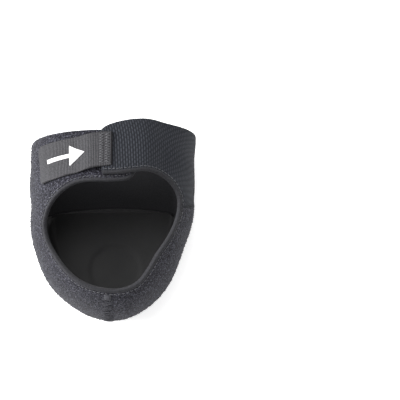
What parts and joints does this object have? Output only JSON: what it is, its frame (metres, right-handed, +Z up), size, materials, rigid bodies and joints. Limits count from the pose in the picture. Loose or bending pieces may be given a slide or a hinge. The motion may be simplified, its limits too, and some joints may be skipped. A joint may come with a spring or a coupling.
{
  "type": "gel heel sleeve",
  "caption": "Open-toed knit heel sleeve with a silicone heel pad inside, an elastic instep strap, a hook tab and a bound ankle opening.",
  "frame": {"origin": "middle of the sleeve's box in plan, on the surface that the sole rests on", "axes": "+Y towards the toes, +X towards the side the strap is sewn to, +Z up through the ankle opening"},
  "size_m": [0.088, 0.1008, 0.0653],
  "materials": {
    "charcoal_knit": "speckled charcoal loop knit, matt",
    "ribbed_elastic": "blue-black ribbed elastic, matt",
    "turned_binding": "smooth turned edge with a line of lighter stitches",
    "grey_hook_tape": "grey woven hook tape with a plain white printed mark",
    "black_silicone": "black silicone gel, satin"
  },
  "bodies": {
    "root": {"sleeve_body": "charcoal_knit", "elastic_strap": "ribbed_elastic", "opening_binding": "turned_binding", "hook_tab": "grey_hook_tape", "gel_pad": "black_silicone"}
  },
  "joints": []
}
